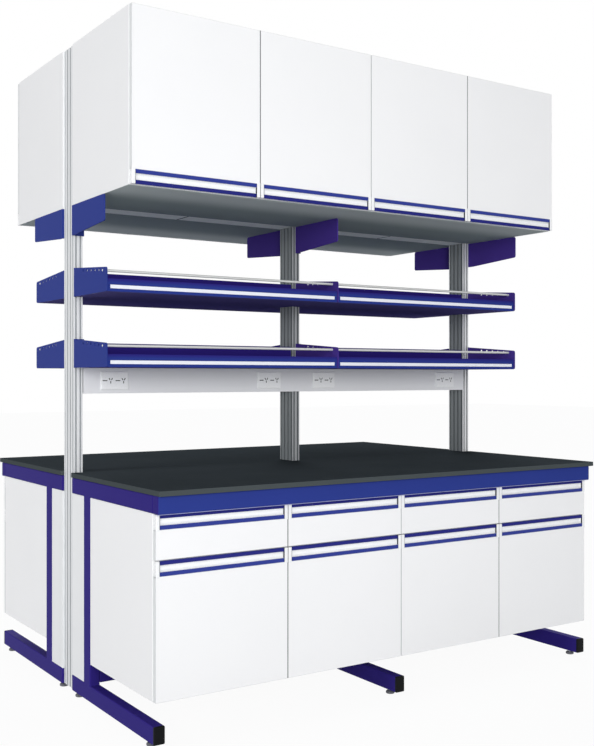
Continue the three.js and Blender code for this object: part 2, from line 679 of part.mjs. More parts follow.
function raceway() {
  const top = SHELF_BOTTOMS.lower - SEAT;
  const levels = [top - RACEWAY_HEIGHT, top];
  const end = columnPlaces.right - columnHalf - SEAT;
  const shell = block(about(end), about(RACEWAY_REACH), levels);
  const duct = block(
    about(end + OVERLAP),
    about(RACEWAY_REACH - RACEWAY_SHEET),
    [levels[0] + RACEWAY_SHEET, levels[1] - RACEWAY_SHEET],
  );
  const columnHole = block(
    about(columnHalf + SEAT),
    about(columnReach + SEAT),
    [levels[0] - OVERLAP, levels[1] + OVERLAP],
  );
  const socketLevels = about(SOCKET_HEIGHT / 2, (levels[0] + levels[1]) / 2);
  const socketDepth = [RACEWAY_REACH - RACEWAY_SHEET, RACEWAY_REACH + SOCKET_PROUD];
  const farSocket = columnPlaces.right - SOCKET_FROM_END;
  const plates = [-farSocket, -SOCKET_FROM_MIDDLE, SOCKET_FROM_MIDDLE, farSocket].flatMap((x) => {
    const span = about(SOCKET_WIDTH / 2, x);
    return [block(span, socketDepth, socketLevels), block(span, mirrored(socketDepth), socketLevels)];
  });
  return joined([cut(shell, [duct, columnHole]), ...plates]);
}

place(model, "service_raceway", geometryOf(raceway()), finishes.greySteel);

export default model;
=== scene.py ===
"""Looks of a double-sided laboratory island bench with a reagent shelf and overhead cupboards.

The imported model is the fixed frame. Every piece here takes its place from a node of that frame, in metres.
X runs along the bench, the working sides face -Y (front) and +Y (rear), and +Z is up.
"""
from __future__ import annotations

import logging
import math
from dataclasses import dataclass, field, replace
from enum import Enum
from functools import lru_cache
from typing import Any, Sequence

import bmesh
import bpy
from mathutils import Matrix, Vector


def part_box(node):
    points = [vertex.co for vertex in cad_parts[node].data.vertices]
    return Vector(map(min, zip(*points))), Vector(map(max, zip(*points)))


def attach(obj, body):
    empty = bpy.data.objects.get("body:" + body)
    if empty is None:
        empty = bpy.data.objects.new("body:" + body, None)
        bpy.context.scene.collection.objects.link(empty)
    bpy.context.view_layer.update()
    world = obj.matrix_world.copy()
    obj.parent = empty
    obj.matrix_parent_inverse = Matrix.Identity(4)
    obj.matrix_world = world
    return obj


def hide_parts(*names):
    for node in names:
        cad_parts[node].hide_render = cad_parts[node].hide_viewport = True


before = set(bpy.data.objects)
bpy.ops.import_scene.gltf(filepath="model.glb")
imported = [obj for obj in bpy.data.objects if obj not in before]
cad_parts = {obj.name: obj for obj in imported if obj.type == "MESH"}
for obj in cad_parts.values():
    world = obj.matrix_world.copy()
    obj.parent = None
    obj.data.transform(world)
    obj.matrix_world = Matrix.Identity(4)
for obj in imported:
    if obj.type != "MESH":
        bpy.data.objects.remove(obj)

LOG = logging.getLogger("bench")
MM = 0.001
BENCH = "bench"
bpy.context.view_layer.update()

# A start and an end along an axis, and a point of a flat outline.
Span = tuple[float, float]
Point = tuple[float, float]
Tree = bpy.types.NodeTree
# A span, in metres, that takes in the whole bench.
EVERYWHERE: Span = (-10.0, 10.0)
# The sRGB curve: the end and slope of its straight toe, and the offset and power above it.
SRGB_TOE = 0.04045
SRGB_SLOPE = 12.92
SRGB_OFFSET = 0.055
SRGB_POWER = 2.4
BYTE_MAX = 255
# Sockets of a Mix node that carry its two colours and its result.
MIX_BELOW = 6
MIX_ABOVE = 7
MIX_RESULT = 2
# The span of a noise texture that holds most of its values, and its detail.
NOISE_SPAN: Span = (0.3, 0.7)
NOISE_DETAIL = 4.0
# Two noises multiplied come to about a quarter, and this brings them back to about a half.
DRIFT_GAIN = 2.0
BUMP_STRENGTH = 0.6
# Edges that turn by more than this are sharp, and points nearer than the gap become one.
SHARP_ANGLE = math.radians(40)
WELD_GAP = 0.01 * MM
EDGE_STEPS = 2
MATRIX_SIZE = 4


def linear(hex_colour: str) -> tuple[float, float, float, float]:
    """Turn an sRGB hex colour into Blender's linear colour.

    Args:
        hex_colour: Six hex digits, with or without a leading hash.

    Returns:
        Linear red, green, blue and an alpha of 1.
    """
    parts = [value / BYTE_MAX for value in bytes.fromhex(hex_colour.lstrip("#"))]
    values = [
        p / SRGB_SLOPE if p <= SRGB_TOE else ((p + SRGB_OFFSET) / (1 + SRGB_OFFSET)) ** SRGB_POWER
        for p in parts
    ]
    return (*values, 1.0)


def around(middle: float, reach: float) -> Span:
    """Return the span that reaches equally far to both sides of its middle."""
    return (middle - reach, middle + reach)


def add_node(tree: Tree, kind: str, links: dict[Any, Any] | None = None, **settings: Any) -> Any:
    """Add a node with its settings and links.

    Args:
        tree: The node tree that gets the node.
        kind: The node's type name in Blender.
        links: Input name or number to a value, to the output socket that feeds it, or to a node whose first
            output does.
        **settings: Properties of the node itself.

    Returns:
        The new node.
    """
    node = tree.nodes.new(kind)
    for key, value in settings.items():
        setattr(node, key, value)
    for key, value in (links or {}).items():
        source = value.outputs[0] if isinstance(value, bpy.types.Node) else value
        if isinstance(source, bpy.types.NodeSocket):
            tree.links.new(source, node.inputs[key])
        else:
            node.inputs[key].default_value = source
    return node


class Grain(Enum):
    """How a finish's fine texture runs: the stretch of its grains along X, Y and Z."""

    EVEN = (1.0, 1.0, 1.0)
    ALONG_X = (60.0, 1.0, 1.0)
    ALONG_Z = (1.0, 1.0, 60.0)


@dataclass(frozen=True)
class Finish:
    """A surface finish: what the material is and what its making gives the eye.

    Args:
        name: The material's common name.
        colour: Its main colour as sRGB hex.
        shade: The colour that it drifts to in patches and in its grain.
        roughness: The middle of its roughness.
        spread: How far the roughness varies to each side.
        metallic: 1 for bare metal.
        ior: Index of refraction of a coat, plastic or laminate.
        gloss: The shader's specular level, 0.5 for a plain dielectric.
        grain: How the fine texture runs.
        grain_mm: The size of one grain.
        relief_mm: The height of the grain.
        patch_mm: The size of the soft patches of colour.
        patch_share: How much of the shade shows in the patches.
    """

    name: str
    colour: str
    shade: str
    roughness: float
    spread: float = 0.05
    metallic: float = 0.0
    ior: float = 1.5
    gloss: float = 0.5
    grain: Grain = Grain.EVEN
    grain_mm: float = 2.0
    relief_mm: float = 0.05
    patch_mm: float = 400.0
    patch_share: float = 0.5

    def material(self) -> bpy.types.Material:
        """Return the finish's material, made once."""
        return _material_of(self)

    def colour_socket(self, tree: Tree, place: Any, grain: Any) -> Any:
        """Return the socket that carries the finish's colour.

        Args:
            tree: The material's node tree.
            place: The socket with the place on the object, in metres.
            grain: The node of the fine texture, from 0 to 1.

        Returns:
            A colour socket that drifts between the two colours.
        """
        spots = {"Vector": place, "Scale": 1 / (self.patch_mm * MM), "Detail": NOISE_DETAIL}
        patches = add_node(tree, "ShaderNodeTexNoise", spots)
        drift = add_node(tree, "ShaderNodeMath", {0: patches, 1: grain}, operation="MULTIPLY")
        gain = {0: drift, 1: DRIFT_GAIN * self.patch_share}
        share = add_node(tree, "ShaderNodeMath", gain, operation="MULTIPLY", use_clamp=True)
        layers = {"Factor": share, MIX_BELOW: linear(self.colour), MIX_ABOVE: linear(self.shade)}
        return add_node(tree, "ShaderNodeMix", layers, data_type="RGBA").outputs[MIX_RESULT]


class Facing(Enum):
    """Which way the faces of a zone look: the span of their normal along Z."""

    DOWN = (-1.1, -0.7)
    SIDEWAYS = (-0.7, 0.7)


@dataclass(frozen=True)
class Zone:
    """A zone of a piece that has another colour, such as painted shade under a board.

    Args:
        colour: The zone's colour as sRGB hex.
        facing: Which way its faces look.
        x: Its span along X, in metres.
        y: Its span along Y.
        z: Its span along Z.
        fade: The width of its soft border.
    """

    colour: str
    facing: Facing
    x: Span = EVERYWHERE
    y: Span = EVERYWHERE
    z: Span = EVERYWHERE
    fade: float = 0.1 * MM

    def share(self, tree: Tree, place: Any) -> Any:
        """Return the node that gives 1 inside the zone and 0 outside it.

        Args:
            tree: The material's node tree.
            place: The socket with the place on the object, in metres.

        Returns:
            The zone's node.
        """
        normal = add_node(tree, "ShaderNodeNewGeometry").outputs["Normal"]
        looks = add_node(tree, "ShaderNodeSeparateXYZ", {0: normal}).outputs["Z"]
        spot = add_node(tree, "ShaderNodeSeparateXYZ", {0: place}).outputs
        inside = self._within(tree, looks, self.facing.value)
        for value, span in zip(spot, (self.x, self.y, self.z)):
            if span != EVERYWHERE:
                both = {0: inside, 1: self._within(tree, value, span)}
                inside = add_node(tree, "ShaderNodeMath", both, operation="MULTIPLY")
        return inside

    def _within(self, tree: Tree, value: Any, span: Span) -> Any:
        """Return the node that gives 1 where a value lies in a span and falls to 0 over the soft border.

        Args:
            tree: The material's node tree.
            value: The value's socket.
            span: The span.

        Returns:
            The new node.
        """
        middle, half, border = sum(span) / 2, (span[1] - span[0]) / 2, self.fade / 2
        away = add_node(tree, "ShaderNodeMath", {0: value, 1: middle}, operation="SUBTRACT")
        far = add_node(tree, "ShaderNodeMath", {0: away}, operation="ABSOLUTE")
        limits = dict(enumerate((far, half - border, half + border, 1.0, 0.0)))
        return add_node(tree, "ShaderNodeMapRange", limits, interpolation_type="SMOOTHSTEP")


@dataclass(frozen=True)
class ZonedFinish(Finish):
    """A finish with zones of other colours.

    Args:
        zones: The zones, the last on top.
    """

    zones: tuple[Zone, ...] = ()

    def colour_socket(self, tree: Tree, place: Any, grain: Any) -> Any:
        """Return the socket that carries the finish's colour with its zones laid over it.

        Args:
            tree: The material's node tree.
            place: The socket with the place on the object, in metres.
            grain: The node of the fine texture, from 0 to 1.

        Returns:
            The colour socket of the last zone.
        """
        colour = super().colour_socket(tree, place, grain)
        for zone in self.zones:
            layers = {"Factor": zone.share(tree, place), MIX_BELOW: colour, MIX_ABOVE: linear(zone.colour)}
            colour = add_node(tree, "ShaderNodeMix", layers, data_type="RGBA").outputs[MIX_RESULT]
        return colour


def zoned(finish: Finish, name: str, *zones: Zone, **changes: Any) -> ZonedFinish:
    """Return a finish with a new name, zones laid over it, the last on top, and other fields changed."""
    return ZonedFinish(**{**vars(finish), "name": name, "zones": zones, **changes})


@lru_cache(maxsize=None)
def _material_of(finish: Finish) -> bpy.types.Material:
    """Build the node material of a finish.

    Args:
        finish: The finish to build.

    Returns:
        Its material.
    """
    material = bpy.data.materials.new(finish.name)
    material.use_nodes = True
    tree = material.node_tree
    tree.nodes.clear()
    place = add_node(tree, "ShaderNodeTexCoord").outputs["Object"]
    stretch = [1 / (finish.grain_mm * MM * factor) for factor in finish.grain.value]
    mapped = add_node(tree, "ShaderNodeMapping", {"Vector": place, "Scale": stretch})
    waves = {"Vector": mapped, "Scale": 1.0, "Detail": NOISE_DETAIL}
    grain = add_node(tree, "ShaderNodeTexNoise", waves)
    limits = (grain, *NOISE_SPAN, *around(finish.roughness, finish.spread))
    relief = {"Strength": BUMP_STRENGTH, "Distance": finish.relief_mm * MM, "Height": grain}
    inputs = {
        "Base Color": finish.colour_socket(tree, place, grain),
        "Metallic": finish.metallic,
        "Specular IOR Level": finish.gloss,
        "Roughness": add_node(tree, "ShaderNodeMapRange", dict(enumerate(limits))),
        "Normal": add_node(tree, "ShaderNodeBump", relief),
    }
    if finish.metallic < 1:
        inputs["IOR"] = finish.ior
    shader = add_node(tree, "ShaderNodeBsdfPrincipled", inputs)
    add_node(tree, "ShaderNodeOutputMaterial", {"Surface": shader})
    return material


# Polyester powder coat on steel: an even satin blue with the soft orange peel of a baked coat.
BLUE_COAT = Finish("blue_powder_coat", "#2a3882", "#303f8d", 0.5, gloss=0.03, grain_mm=2.5, relief_mm=0.04)
# The same coat on the frame tubes, baked a little deeper and more violet.
FRAME_COAT = replace(BLUE_COAT, name="violet_blue_powder_coat", colour="#2c2173", shade="#32287c")
# Painted shade: the same coat on the inner brackets and arms, in the violet cast of the shade under the
# cupboards, and paler.
SHADED_ARM_COAT = replace(BLUE_COAT, name="violet_blue_coated_arm", colour="#48358c", shade="#4e3c95", gloss=0.02)
# The same coat on the flat inner lips of the aluminium pulls, a little glossier.
BLUE_LIP = Finish("blue_coated_lip", "#2a3686", "#324090", 0.4, gloss=0.15, grain_mm=2.0, relief_mm=0.02)
# Painted shade: the outer lips of the pulls, deeper and more violet than the inner lips, as they lie in
# shade.
SHADED_EDGE_LIP = replace(BLUE_LIP, name="violet_blue_coated_lip", colour="#272a74", shade="#2d307e", gloss=0.05)
# White powder coat on the folded closing panels: clean and even.
WHITE_COAT = Finish("white_powder_coat", "#e9eaeb", "#dfe1e3", 0.42, gloss=0.4, grain_mm=2.5, relief_mm=0.04)
# Light grey powder coat on the folded raceway.
GREY_COAT = replace(WHITE_COAT, name="light_grey_powder_coat", colour="#e2e3e6", shade="#d6d7da")
# Melamine-faced chipboard: clean white with the faint pearl of the pressed paper.
WHITE_BOARD = replace(
    WHITE_COAT, name="white_melamine_board", colour="#f0f0f1", shade="#e6e7e8", grain_mm=1.6, relief_mm=0.03
)
# ABS edge band: a touch greyer than the board that it closes.
EDGE_BAND = Finish("grey_white_abs_edge_band", "#d9dbdc", "#cccfd1", 0.4, grain_mm=3.0, relief_mm=0.02)
# Moulded ABS: smooth and glossy, for caps and socket plates.
WHITE_ABS = Finish("moulded_white_abs", "#eff0f1", "#e2e4e6", 0.28, grain_mm=4.0, relief_mm=0.02)
# Rolled PVC strip with a soft gloss.
WHITE_STRIP = Finish("white_pvc_strip", "#eceef6", "#dfe3ee", 0.3, grain_mm=3.0, relief_mm=0.02)
# Painted highlight: the same strip in lavender, between apron and drawers, standing in for the light along
# the apron's lower edge.
LAVENDER_HIGHLIGHT_STRIP = replace(WHITE_STRIP, name="lavender_pvc_strip", colour="#9ea2cc", shade="#9196c4")
# Extruded and anodised aluminium: satin grey with die lines along its length. Its shade colour is painted
# shade in the grooves of the columns.
ALUMINIUM = Finish(
    "anodised_aluminium", "#d8dadc", "#9ea2a6", 0.4, spread=0.08,
    metallic=0.2, grain=Grain.ALONG_Z, grain_mm=2.0, relief_mm=0.03,
)
# Painted shade: the same extrusion darkened for the middle and right columns, whose wide faces lie in the
# shade of the cupboards. Its shade colour is painted shade in their grooves.
SHADED_ALUMINIUM = replace(
    ALUMINIUM, name="dull_anodised_aluminium", colour="#82888b", shade="#565c5f", roughness=0.45
)
# Drawn stainless rod: bright, with fine lines along X.
STAINLESS = Finish(
    "drawn_stainless_rod", "#d6d7d5", "#c9cac8", 0.4, spread=0.06,
    metallic=0.2, grain=Grain.ALONG_X, grain_mm=0.8, relief_mm=0.01,
)
# Zinc-plated steel for nuts, stems and hinges: grey, with small cloudy patches.
ZINC = Finish(
    "zinc_plated_steel", "#b4b8bd", "#8d9298", 0.34, spread=0.08,
    metallic=1.0, grain_mm=1.5, relief_mm=0.02, patch_mm=20,
)
# Solid phenolic laminate: near black and matt, with a fine pressed grain.
PHENOLIC = Finish(
    "black_phenolic_laminate", "#343a3e", "#42484c", 0.68, spread=0.08,
    gloss=0.02, grain_mm=1.2, relief_mm=0.05, patch_mm=250,
)
# Injection-moulded polypropylene: black with a fine spark-eroded grain.
BLACK_PLASTIC = Finish(
    "moulded_black_polypropylene", "#0c0d0e", "#151618", 0.5, spread=0.06,
    gloss=0.08, grain_mm=1.0, relief_mm=0.06,
)
# The same plastic in dark grey, for the pads of the levelling feet.
GREY_PLASTIC = Finish("moulded_grey_polypropylene", "#56575e", "#606168", 0.5, grain_mm=1.0, relief_mm=0.06)
# Painted shade in the contact slots and in the gaps beside the caps of the pulls: dark blocks where the
# holes lie in shade.
SLOT_SHADE = Finish("painted_shade_in_slots", "#1b1d22", "#2a2d33", 0.6, grain_mm=1.0, relief_mm=0.02)
# Plain white of the background.
WHITE = "#ffffff"
# Narrow faces of the columns: a lit copy of the metal on the left and right columns, and painted shade on
# the middle one, whose narrow faces lie in shade.
LIT_FACE = "#dfe1e3"
SHADED_FACE = "#9da0a3"
# Painted shade under the overhead cupboards, with painted light on its outer edges, a pale cover strip and
# dark joints.
UNDERSIDE_SHADE = "#97a3a2"
UNDERSIDE_EDGE_LIGHT = "#e2e8e6"
COVER_STRIP = "#f6fcf6"
JOINT_LINE = "#5d6667"
# Painted shade under the trays: the coat in the violet cast that it takes in shade.
TRAY_UNDER_SHADE = "#665f9a"
# Painted light on the side faces of the phenolic slab: lighter than its top, as the light falls on them.
SLAB_SIDE_LIGHT = "#464c4e"


class Side(Enum):
    """The two working sides, with the turn about Z that takes a front piece there."""

    FRONT = 0.0
    REAR = math.pi

    @property
    def tag(self) -> str:
        """The side's name in node names."""
        return self.name.lower()

    def turn(self) -> Matrix:
        """Return the turn about Z from the front to this side."""
        return Matrix.Rotation(self.value, MATRIX_SIZE, "Z")


class Hinge(Enum):
    """The edge that a door hinges at, seen from its own side, with the way along X into the door."""

    LEFT = 1
    RIGHT = -1


class Pull(Enum):
    """The edge that a pull lies along, with the way along Z out of the front."""

    TOP = 1
    BOTTOM = -1


class Axis(Enum):
    """The axis of a turned solid: the turn that takes Z there, as an angle and the axis it goes round."""

    X = (math.pi / 2, "Y")
    Y = (-math.pi / 2, "X")
    Z = (0.0, "Z")

    def turn(self) -> Matrix:
        """Return the turn from Z to this axis."""
        angle, about = self.value
        return Matrix.Rotation(angle, MATRIX_SIZE, about)


@dataclass(frozen=True)
class Box:
    """A box between two corners, in metres."""

    low: Vector
    high: Vector

    @property
    def x(self) -> Span:
        """The span along X."""
        return (self.low.x, self.high.x)

    @property
    def y(self) -> Span:
        """The span along Y."""
        return (self.low.y, self.high.y)

    @property
    def z(self) -> Span:
        """The span along Z."""
        return (self.low.z, self.high.z)

    @classmethod
    def holding(cls, points: Sequence[Vector]) -> Box:
        """Return the box that just holds some points."""
        return cls(Vector(map(min, *points)), Vector(map(max, *points)))

    @classmethod
    def of_node(cls, node: str, side: Side = Side.FRONT) -> Box:
        """Return a node's box at rest, turned as if its side were the front."""
        return cls.holding([side.turn().inverted() @ Vector(corner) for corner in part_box(node)])


def stand(name: str, data: bpy.types.ID) -> bpy.types.Object:
    """Put an object in the scene.

    Args:
        name: Its name.
        data: Its mesh, lamp or camera.

    Returns:
        The object.
    """
    thing = bpy.data.objects.new(name, data)
    bpy.context.scene.collection.objects.link(thing)
    return thing


class Piece:
    """One object in the making: bevelled solids with their finishes, joined in one mesh."""

    EXTRA_STEPS = 2
    ROUND_PROFILE = 0.5
    ROUND_SIDES = 32

    def __init__(self, name: str) -> None:
        """Start an empty piece.

        Args:
            name: The piece's name.
        """
        self.name = name
        self.mesh = bmesh.new()
        self.finishes: list[Finish] = []

    def _join(self, part: bmesh.types.BMesh, finish: Finish, rounding: float) -> None:
        """Round a solid's edges, give it its finish and join it to the piece.

        Args:
            part: The solid, which is used up.
            finish: Its finish.
            rounding: The width of the rounded edges, in millimetres. Wide ones get more steps.
        """
        bmesh.ops.recalc_face_normals(part, faces=part.faces)
        if rounding:
            bmesh.ops.bevel(
                part,
                geom=[e for e in part.edges if e.calc_face_angle(0.0) > SHARP_ANGLE],
                offset=rounding * MM,
                segments=1 + min(self.EXTRA_STEPS, round(rounding)),
                profile=self.ROUND_PROFILE,
                affect="EDGES",
                clamp_overlap=True,
            )
        if finish not in self.finishes:
            self.finishes.append(finish)
        number = self.finishes.index(finish)
        for face in part.faces:
            face.material_index = number
            face.smooth = True
        for edge in part.edges:
            edge.smooth = edge.calc_face_angle(0.0) < SHARP_ANGLE
        self.take(part)

    def take(self, part: bmesh.types.BMesh) -> None:
        """Join a mesh to the piece.

        Args:
            part: The mesh, which is used up.
        """
        holder = bpy.data.meshes.new("part")
        part.to_mesh(holder)
        part.free()
        self.mesh.from_mesh(holder)
        bpy.data.meshes.remove(holder)

    def block(self, x: Span, y: Span, z: Span, finish: Finish, rounding: float, lean: float = 0.0) -> None:
        """Add a box with rounded edges.

        Args:
            x: Its span along X, in metres, as are the other two.
            y: Its span along Y.
            z: Its span along Z.
            finish: Its finish.
            rounding: The width of its rounded edges, in millimetres.
            lean: Its turn about its own middle, round Y, in radians.
        """
        part = bmesh.new()
        size = Matrix.Diagonal((x[1] - x[0], y[1] - y[0], z[1] - z[0], 1))
        middle = Matrix.Translation((sum(x) / 2, sum(y) / 2, sum(z) / 2))
        turn = Matrix.Rotation(lean, MATRIX_SIZE, "Y")
        bmesh.ops.create_cube(part, size=1, matrix=middle @ turn @ size)
        self._join(part, finish, rounding)

    def prism(self, section: Sequence[Point], x: Span, finish: Finish, rounding: float) -> None:
        """Add a bar along X with a given section.

        Args:
            section: The (y, z) points of its outline, in metres.
            x: Its span along X.
            finish: Its finish.
            rounding: The width of its rounded edges, in millimetres.
        """
        part = bmesh.new()
        face = part.faces.new([part.verts.new((x[0], y, z)) for y, z in section])
        made = bmesh.ops.extrude_face_region(part, geom=[face])
        moved = [item for item in made["geom"] if isinstance(item, bmesh.types.BMVert)]
        bmesh.ops.translate(part, verts=moved, vec=(x[1] - x[0], 0, 0))
        self._join(part, finish, rounding)

    def turned(
        self, profile: Sequence[Point], at: Vector, axis: Axis, finish: Finish, sides: int = ROUND_SIDES
    ) -> None:
        """Add a solid turned about an axis.

        Args:
            profile: Its (radius, height) points, in metres, from the axis back to the axis.
            at: Where height 0 on the axis lies.
            axis: The axis.
            finish: Its finish.
            sides: The sides of the round.
        """
        part = bmesh.new()
        line = [part.verts.new((radius, 0, height)) for radius, height in profile]
        edges = [part.edges.new(pair) for pair in zip(line, line[1:])]
        whole = {"cent": (0, 0, 0), "axis": (0, 0, 1), "angle": 2 * math.pi, "steps": sides}
        bmesh.ops.spin(part, geom=line + edges, **whole)
        bmesh.ops.remove_doubles(part, verts=part.verts, dist=WELD_GAP)
        part.transform(Matrix.Translation(at) @ axis.turn())
        self._join(part, finish, 0.0)

    def place(self, body: str, slot: str, side: Side = Side.FRONT, node: str | None = None) -> None:
        """Make the object, turn it to its side and let it ride on its body.

        Args:
            body: The body that it moves with.
            slot: The record's material slot. It is not used.
            side: The side that it is on, if it was built as a front piece.
            node: The node that it stands for, if it replaces one.
        """
        self.mesh.transform(side.turn())
        data = bpy.data.meshes.new(self.name)
        self.mesh.to_mesh(data)
        self.mesh.free()
        for finish in self.finishes:
            data.materials.append(finish.material())
        thing = stand(self.name, data)
        even = thing.modifiers.new("even_normals", "WEIGHTED_NORMAL")
        even.keep_sharp = True
        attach(thing, body)
        if node:
            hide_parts(node)
        LOG.info("%s: %d faces on %s", self.name, len(data.polygons), body)


def dress_node(node: str, finish: Finish, rounding: float) -> None:
    """Give a node its finish and softly rounded edges.

    Args:
        node: The node's name.
        finish: Its finish.
        rounding: The width of its rounded edges, in millimetres.
    """
    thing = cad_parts[node]
    thing.data.materials.clear()
    thing.data.materials.append(finish.material())
    weld = thing.modifiers.new("weld", "WELD")
    weld.merge_threshold = WELD_GAP
    edge = thing.modifiers.new("edges", "BEVEL")
    edge.limit_method = "ANGLE"
    edge.angle_limit = SHARP_ANGLE
    edge.width = rounding * MM
    edge.segments = EDGE_STEPS
    LOG.info("%s: dressed as %s", node, finish.name)


@dataclass
class Front:
    """A drawer front or door: a banded board with a channel pull along one edge, closed by end caps.

    Sizes are in millimetres.
    """

    thickness: float = 20
    edge_lip: float = 13
    channel: float = 23
    inner_lip: float = 14
    lip_proud: float = 2
    lip_fall: float = 5
    lip_sheet: float = 3
    cap_width: float = 13
    cap_height: float = 54
    cap_proud: float = 3
    cap_reveal: float = 2
    reveal_depth: float = 1.5
    band: float = 1.0
    band_round: float = 0.3
    lip_round: float = 0.7
    cap_round: float = 1.8
    arc_steps: int = 12

    def build(self, piece: Piece, x: Span, back: float, z: Span, pull: Pull) -> None:
        """Add the front to a piece, as a front-side piece.

        Args:
            piece: The piece that gets it.
            x: Its span along X, in metres.
            back: The place of its back face along Y.
            z: Its span along Z.
            pull: The edge that its pull lies along.
        """
        way = pull.value
        far, edge = z[::way]

        def level(drop: float) -> float:
            """Return the height at a distance, in millimetres, from the pull's edge."""
            return edge - way * drop * MM

        def depth(reach: float) -> float:
            """Return the place along Y at a distance, in millimetres, in front of the back."""
            return back - reach * MM

        root = self.edge_lip + self.channel + self.inner_lip
        self._board(piece, x, (depth(self.thickness), back), sorted((far, level(root))))
        inside = (x[0] + self.cap_width * MM, x[1] - self.cap_width * MM)
        face = self.thickness + self.lip_proud
        radius = self.channel / 2
        middle = self.edge_lip + radius
        arc = [
            (
                depth(face - self.lip_sheet - radius * math.cos(angle)),
                level(middle - radius * math.sin(angle)),
            )
            for angle in (math.pi / 2 - math.pi * s / self.arc_steps for s in range(self.arc_steps + 1))
        ]
        behind = face - self.lip_sheet
        liner = [(back, level(root)), (back, level(0)), (depth(behind - self.lip_fall), level(0))]
        liner += [*arc, (depth(behind), level(root))]
        piece.prism(liner, inside, WHITE_ABS, 0.0)
        edge_lip = [
            (depth(face - self.lip_fall), level(0)),
            (depth(face), level(self.edge_lip)),
            (depth(face - self.lip_sheet), level(self.edge_lip)),
            (depth(face - self.lip_fall - self.lip_sheet), level(0)),
        ]
        reveal = self.cap_reveal * MM
        between = (inside[0] + reveal, inside[1] - reveal)
        # The outer lip carries painted shade.
        piece.prism(edge_lip, between, SHADED_EDGE_LIP, self.lip_round)
        reach = (depth(face), depth(behind))
        inner = sorted((level(self.edge_lip + self.channel), level(root)))
        piece.block(between, reach, tuple(inner), BLUE_LIP, self.lip_round)
        # Painted shade in the reveals beside the caps: dark blocks where the gaps lie in shade.
        hollow = (depth(face - self.reveal_depth), depth(self.thickness - self.lip_fall))
        for x_span in ((inside[0], between[0]), (between[1], inside[1])):
            piece.block(x_span, hollow, tuple(sorted((level(0), level(root)))), SLOT_SHADE, 0.0)
        cap_z = tuple(sorted((level(0), level(self.cap_height))))
        cap_y = (depth(self.thickness + self.cap_proud), back)
        for low, high in ((x[0], inside[0]), (inside[1], x[1])):
            piece.block((low, high), cap_y, cap_z, WHITE_ABS, self.cap_round)

    def _board(self, piece: Piece, x: Span, y: Span, z: Sequence[float]) -> None:
        """Add the board and the bands that close its edges.

        Args:
            piece: The piece that gets them.
            x: The board's span along X, in metres, as are the other two.
            y: Its span along Y.
            z: Its span along Z.
        """
        band = self.band * MM
        piece.block((x[0] + band, x[1] - band), y, (z[0] + band, z[1] - band), WHITE_BOARD, 0.0)
        for low, high in ((x[0], x[0] + band), (x[1] - band, x[1])):
            piece.block((low, high), y, (z[0], z[1]), EDGE_BAND, self.band_round)
        for low, high in ((z[0], z[0] + band), (z[1] - band, z[1])):
            piece.block((x[0] + band, x[1] - band), y, (low, high), EDGE_BAND, self.band_round)


